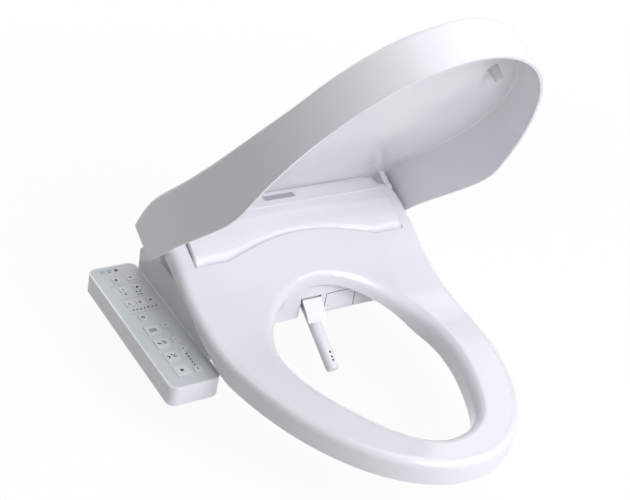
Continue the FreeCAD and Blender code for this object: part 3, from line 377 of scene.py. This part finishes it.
# Joins what was made, moves its mesh home and hands it to its body and its slot.
def settle(name, made, home, body, finish, angle=smoothAngle):
    deselect()
    for piece in made:
        piece.select_set(True)
    bpy.context.view_layer.objects.active = made[0]
    if len(made) > 1:
        bpy.ops.object.join()
    whole = bpy.context.object
    whole.name = name
    whole.data.transform(home @ whole.matrix_world)
    whole.matrix_world = Matrix.Identity(4)
    whole.data.materials.clear()
    whole.data.materials.append(finish)
    bpy.ops.object.shade_smooth_by_angle(angle=math.radians(angle))
    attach(whole, body)


panel = {"lift": 0.03, "thick": 0.12, "lampRadius": 1.3,
         "lamps": [(48, 56), (48, 50.5), (48, 45), (48, 39.5), (48, 34), (23.5, 158),
                   (28.5, 158), (33.5, 157.5), (39, 158), (44.5, 158.5), (50, 158), (55.5, 158),
                   (28, 192.5), (44, 193), (48.5, 193), (44, 187.5), (48.5, 187.5)],
         "lines": [213.5, 183, 151], "lineEnds": (14, 60), "lineWide": 0.35,
         "scaleLine": (48, 94, 108), "scaleWide": 0.4,
         "status": [(18, 246.5), (28, 246.5), (38, 246.5)], "ringRadius": 2.6, "ringWide": 0.5,
         "handLong": 3.0, "handWide": 0.5, "handTurn": 0.6, "spotRadius": 1.9}


# The panel's sloping face: u runs across it and v up it, from its near left corner.
def panelFrame():
    normal = -jointAxis("key_stop_press")
    low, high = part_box("panel_membrane")
    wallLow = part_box("panel_housing")[0]
    slope = math.atan2(-normal.y, normal.z)
    length = (high.y - low.y) / math.cos(slope)
    nearHeight = high.z - length * math.sin(slope)
    rim = low.x - wallLow.x
    turn = Matrix.Rotation(slope, 4, "X")
    origin = Vector((low.x, low.y, nearHeight)) - turn @ Vector((rim, rim, 0))
    return Matrix.Translation(origin) @ turn


def printPanel():
    raised = panelFrame() @ Matrix.Translation((0, 0, panel["lift"] * milli))
    high = panel["thick"]
    deselect()
    dots = [disc(u, v, panel["lampRadius"], high) for u, v in panel["lamps"]]
    settle("lampDots", dots, raised, "base", finishes["print"])
    start, end = panel["lineEnds"]
    lines = [bar((start + end) / 2, v, end - start, panel["lineWide"], high)
             for v in panel["lines"]]
    u, low, top = panel["scaleLine"]
    lines.append(bar(u, (low + top) / 2, panel["scaleWide"], top - low, high))
    settle("dividerLines", lines, raised, "base", finishes["faintPrint"])
    first, second, third = panel["status"]
    icons = [ring(u, v, panel["ringRadius"], panel["ringWide"], high)
             for u, v in panel["status"]]
    icons.append(bar(*first, panel["handWide"], panel["handLong"], high))
    icons.append(bar(*second, panel["handLong"], panel["handWide"], high, panel["handTurn"]))
    icons.append(disc(*third, panel["spotRadius"], high))
    settle("statusMarks", icons, raised, "base", finishes["print"])
    print("panel printed")


keyMarks = {"wide": 1.0, "dotRadius": 0.85, "bold": 1.25,
            "boldKeys": ("key_rear_wash", "key_front_wash", "key_dry")}
wave = [(0, -3.4), (0.9, -1.2), (-0.5, 1.2), (0.5, 3.4)]
# Each key's mark, from the middle of its key.
marks = {"key_rear_wash": {"strokes": [[(u + du, dv) for du, dv in wave]
                                       for u in (-3.9, -1.3, 1.3, 3.9)]},
         "key_front_wash": {"strokes": [[(-6, 0.6), (-2.2, -0.4)], [(-5.4, 1.5), (-2.6, 0.7)],
                                        [(-2.2, -0.4), (-1.2, -2.2)]],
                            "dots": [(1.4, 3.6), (2.4, 1.8), (2.9, -0.2), (2.7, -2.2), (4.8, 3),
                                     (5.4, 0.6), (5.2, -1.8)]},
         "key_dry": {"strokes": [[(-6, 2.6), (-2.4, 0.2)], [(-2.4, 0.2), (-5, -3)],
                                 [(-4.6, 0.4), (-2.4, 0.2)]],
                     "dots": [(0.6, 3.4), (2.2, 2), (3.2, 0.2), (3.4, -1.8), (5.4, 2.6),
                              (5.9, -0.6)]},
         "key_stop": {"dots": [(0, 0)], "dotRadius": 2.2},
         "key_pressure_up": {"strokes": [[(-1.2, 0), (1.2, 0)], [(0, -1.2), (0, 1.2)]]},
         "key_pressure_down": {"strokes": [[(-1.3, 0), (1.3, 0)]]},
         "key_move": {"strokes": [[(-1.3, -0.7), (0, 0.9), (1.3, -0.7)]]},
         "key_child": {"strokes": [[(0, -1.9), (0, 0.4)]], "dots": [(0, 1.6)]},
         "key_power": {"rings": [(0, 0, 1.9)], "strokes": [[(0, 0.6), (0, 2.8)]]},
         "key_seat_heat": {"strokes": [[(-2.2, -1.6), (0, -2.3), (2.2, -1.6)],
                                       [(-1, -0.4), (-0.5, 1), (-1.1, 2.4)],
                                       [(1.1, -0.4), (1.6, 1), (1, 2.4)]]},
         "key_water_heat": {"rings": [(0, -0.7, 1.4)],
                            "strokes": [[(-1.3, -0.1), (0, 2.5), (1.3, -0.1)]]},
         "key_air_heat": {"strokes": [[(-2.2, v), (-0.7, v + 0.5), (0.7, v - 0.5), (2.2, v)]
                                      for v in (-1.6, 0, 1.6)]},
         "key_light": {"dots": [(0, 0)],
                       "strokes": [[(-2.4, 0), (-1.5, 0)], [(1.5, 0), (2.4, 0)],
                                   [(0, -2.4), (0, -1.5)], [(0, 1.5), (0, 2.4)]]},
         "key_deodorise": {"strokes": [[(-2, -1.8), (-1.6, 1.2), (2, 2)],
                                       [(-2, -1.8), (1.4, -1.2), (2, 2)],
                                       [(-2, -1.8), (1.1, 1.1)]]},
         "key_save": {"rings": [(0, 0, 1.9)], "strokes": [[(0, -1), (0, 1)]]},
         "key_clean": {"strokes": [[(-2.2, 1.8), (0.6, -0.6)]],
                       "dots": [(1.6, 1.7), (2.2, 0.2), (0.4, 2.3)]}}


def printKeys():
    turn = panelFrame()
    back = turn.inverted()
    high = panel["thick"]
    bodies = {node: body for body, nodes in frame["record"]["behaviour"]["bodies"].items()
              for node in nodes}
    for node, facts in marks.items():
        corners = [back @ vertex.co for vertex in frame["nodes"][node].data.vertices]
        middle = [(min(c[axis] for c in corners) + max(c[axis] for c in corners)) / 2
                  for axis in (0, 1)]
        top = max(c.z for c in corners)
        bold = keyMarks["bold"] if node in keyMarks["boldKeys"] else 1
        wide = keyMarks["wide"] * bold
        radius = facts.get("dotRadius", keyMarks["dotRadius"])
        deselect()
        made = [stroke(places, wide, high) for places in facts.get("strokes", [])]
        made += [disc(u, v, radius, high) for u, v in facts.get("dots", [])]
        made += [ring(u, v, size, wide, high) for u, v, size in facts.get("rings", [])]
        home = turn @ Matrix.Translation((*middle, top + panel["lift"] * milli))
        settle(node.replace("key_", "") + "Mark", made, home, bodies[node], finishes["print"])
    print("keys printed")


endCaps = {"slab": 2.6, "shift": 1.7, "merge": 0.01}


# The cover's open ends are closed with slices of its own shape, moved outwards.
def coverCaps():
    source = frame["nodes"]["body_cover"]
    edge = max(vertex.co.x for vertex in source.data.vertices)
    for name, side in (("coverCapLeft", -1), ("coverCapRight", 1)):
        deselect()
        cap = source.copy()
        cap.data = source.data.copy()
        cap.name = name
        bpy.context.collection.objects.link(cap)
        cap.select_set(True)
        bpy.context.view_layer.objects.active = cap
        bpy.ops.object.mode_set(mode="EDIT")
        bpy.ops.mesh.select_all(action="SELECT")
        bpy.ops.mesh.remove_doubles(threshold=endCaps["merge"] * milli)
        bpy.ops.mesh.bisect(plane_co=(side * (edge - endCaps["slab"] * milli), 0, 0),
                            plane_no=(side, 0, 0), use_fill=True, clear_inner=True)
        bpy.ops.mesh.select_all(action="SELECT")
        bpy.ops.transform.translate(value=(side * endCaps["shift"] * milli, 0, 0))
        bpy.ops.object.mode_set(mode="OBJECT")
        bpy.ops.object.shade_smooth_by_angle(angle=math.radians(smoothAngle))
        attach(cap, "base")
    print("cover ends capped")


shelf = {"wide": 248, "deep": 22, "thick": 1.4, "gap": 0.2, "setBack": 5.8, "corner": 0.15}


# Closes the top of the base behind the cover's wavy front edge.
def fitShelf():
    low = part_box("body_cover")[0]
    deselect()
    plate = bar(0, shelf["deep"] / 2, shelf["wide"], shelf["deep"], shelf["thick"],
                rounding=shelf["corner"])
    home = Matrix.Translation((0, low.y + shelf["setBack"] * milli,
                               low.z - (shelf["gap"] + shelf["thick"]) * milli))
    settle("housingShelf", [plate], home, "base", finishes["body"])
    print("shelf fitted")


# Sizes of the painted shadow bars round the second door, in millimetres.
paintedGap = {"wide": 1.0, "gap": 0.15, "proud": 0.1}


# Painted shadow round the second door, above it and at both sides: dark bars that stand in for the shade in the
# gap round the door.
def paintGapShadow():
    low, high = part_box("side_door")
    left, right, foot, crown = low.x / milli, high.x / milli, low.z / milli, high.z / milli
    wide, gap = paintedGap["wide"], paintedGap["gap"]
    tall = crown + gap + wide - foot
    deselect()
    bars = [bar((left + right) / 2, crown + gap + wide / 2, right - left, wide, paintedGap["proud"])]
    for edge in (left - gap - wide / 2, right + gap + wide / 2):
        bars.append(bar(edge, foot + tall / 2, wide, tall, paintedGap["proud"]))
    facing = Matrix(((1, 0, 0), (0, 0, 1), (0, -1, 0))).transposed().to_4x4()
    settle("doorGapShadow", bars, Matrix.Translation((0, low.y, 0)) @ facing, "base",
           finishes["rubber_part"])
    print("seal fitted")


# Sizes of the painted shade discs in the spray holes, in millimetres.
holeShade = {"radius": 1.5, "sink": 0.4, "deep": 1.0, "fromEnd": (11.7, 16.7, 23.5)}


# Painted shade at the bottoms of the spray holes: dark discs that stand in for the shadow inside them, measured
# back from the nozzle's end.
def paintHoleShade():
    axis = jointAxis("wand_slide")
    across = Vector((1, 0, 0))
    up = axis.cross(across)
    spots = [vertex.co for vertex in frame["nodes"]["nozzle_tip"].data.vertices]
    low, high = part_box("nozzle_tip")
    crown = max(spot.dot(up) for spot in spots) - (holeShade["sink"] + holeShade["deep"]) * milli
    origin = (across * (low.x + high.x) / 2 + axis * max(spot.dot(axis) for spot in spots)
              + up * crown)
    turn = Matrix((across, -axis, up)).transposed().to_4x4()
    deselect()
    made = [disc(0, reach, holeShade["radius"], holeShade["deep"]) for reach in holeShade["fromEnd"]]
    settle("sprayHoleShade", made, Matrix.Translation(origin) @ turn, "wand",
           finishes["rubber_part"])
    print("jets fitted")


threads = {"bolt": {"nodes": ("mounting_bolt_left", "mounting_bolt_right"), "inner": 3.7,
                    "outer": 3.98, "pitch": 1.25, "turns": 21, "start": 0.6},
           "inlet": {"inner": 10.2, "outer": 10.46, "pitch": 1.814, "turns": 5, "start": 1.2},
           "sunk": 0.1, "crest": 0.45, "foot": 0.9, "steps": 32, "angle": 50}


# One coil round z. Its root is sunk a little into the shank.
def cutThread(name, facts, home):
    deselect()
    bpy.ops.mesh.primitive_circle_add(vertices=3)
    coil = bpy.context.object
    root, pitch = (facts["inner"] - threads["sunk"]) * milli, facts["pitch"] * milli
    places = [(root, 0, 0), (facts["outer"] * milli, 0, pitch * threads["crest"]),
              (root, 0, pitch * threads["foot"])]
    for vertex, place in zip(coil.data.vertices, places):
        vertex.co = place
    bpy.ops.object.modifier_add(type="SCREW")
    turning = coil.modifiers[-1]
    turning.screw_offset = pitch
    turning.iterations = facts["turns"]
    turning.steps = turning.render_steps = threads["steps"]
    bpy.ops.object.modifier_apply(modifier=turning.name)
    bpy.ops.object.mode_set(mode="EDIT")
    bpy.ops.mesh.select_all(action="SELECT")
    bpy.ops.mesh.fill_holes(sides=3)
    bpy.ops.mesh.normals_make_consistent(inside=False)
    bpy.ops.object.mode_set(mode="OBJECT")
    settle(name, [coil], home, "base", finishes["steel"], threads["angle"])


def cutThreads():
    facts = threads["bolt"]
    for node in facts["nodes"]:
        low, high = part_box(node)
        home = Matrix.Translation(((low.x + high.x) / 2, (low.y + high.y) / 2,
                                   low.z + facts["start"] * milli))
        cutThread(node.replace("mounting_", "") + "Thread", facts, home)
    facts = threads["inlet"]
    low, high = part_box("water_inlet")
    home = Matrix.Translation(((low.x + high.x) / 2, high.y - facts["start"] * milli,
                               (low.z + high.z) / 2))
    cutThread("inletThread", facts, home @ Matrix.Rotation(math.pi / 2, 4, "X"))
    print("threads cut")


screws = {"radius": 3, "height": 1.4, "sides": 28, "round": 0.8, "roundSegments": 3,
          "slotLong": 3.6, "slotWide": 0.8, "slotDeep": 0.8, "stepTurn": 0.5,
          "places": [(9, 9), (61, 9), (9, 129), (61, 129), (9, 249), (61, 249)]}


# A domed head with a cross slot, standing on z 0.
def screwHead():
    height = screws["height"] * milli
    bpy.ops.mesh.primitive_cylinder_add(vertices=screws["sides"],
                                        radius=screws["radius"] * milli, depth=height,
                                        location=(0, 0, height / 2))
    head = bpy.context.object
    bpy.ops.object.transform_apply()
    bevelEdges(head, lambda first, second: min(first.z, second.z) > height / 2,
               screws["round"] * milli, screws["roundSegments"])
    for turn in (0, math.pi / 2):
        bpy.ops.mesh.primitive_cube_add(size=1, location=(0, 0, height), rotation=(0, 0, turn),
                                        scale=(screws["slotLong"] * milli,
                                               screws["slotWide"] * milli,
                                               screws["slotDeep"] * milli * 2))
        cutter = bpy.context.object
        bpy.context.view_layer.objects.active = head
        bpy.ops.object.modifier_add(type="BOOLEAN")
        head.modifiers[-1].object = cutter
        head.modifiers[-1].operation = "DIFFERENCE"
        bpy.ops.object.modifier_apply(modifier=head.modifiers[-1].name)
        bpy.data.objects.remove(cutter)
    return head


# Six screws hold the panel's base from below, each turned a little further than the last.
def fitScrews():
    turn = panelFrame()
    back = turn.inverted()
    under = min((back @ vertex.co).z for vertex in frame["nodes"]["panel_base"].data.vertices)
    deselect()
    first = screwHead()
    heads = [first]
    for _ in screws["places"][1:]:
        head = first.copy()
        head.data = first.data.copy()
        bpy.context.collection.objects.link(head)
        heads.append(head)
    for number, (head, (u, v)) in enumerate(zip(heads, screws["places"])):
        head.location = (u * milli, v * milli, under)
        head.rotation_euler = (math.pi, 0, number * screws["stepTurn"])
    bpy.context.view_layer.update()
    settle("panelScrews", heads, turn, "base", finishes["steel"])
    print("screws fitted")


buildStudio()
placeCamera()
printPanel()
printKeys()
coverCaps()
fitShelf()
paintGapShadow()
paintHoleShade()
cutThreads()
fitScrews()
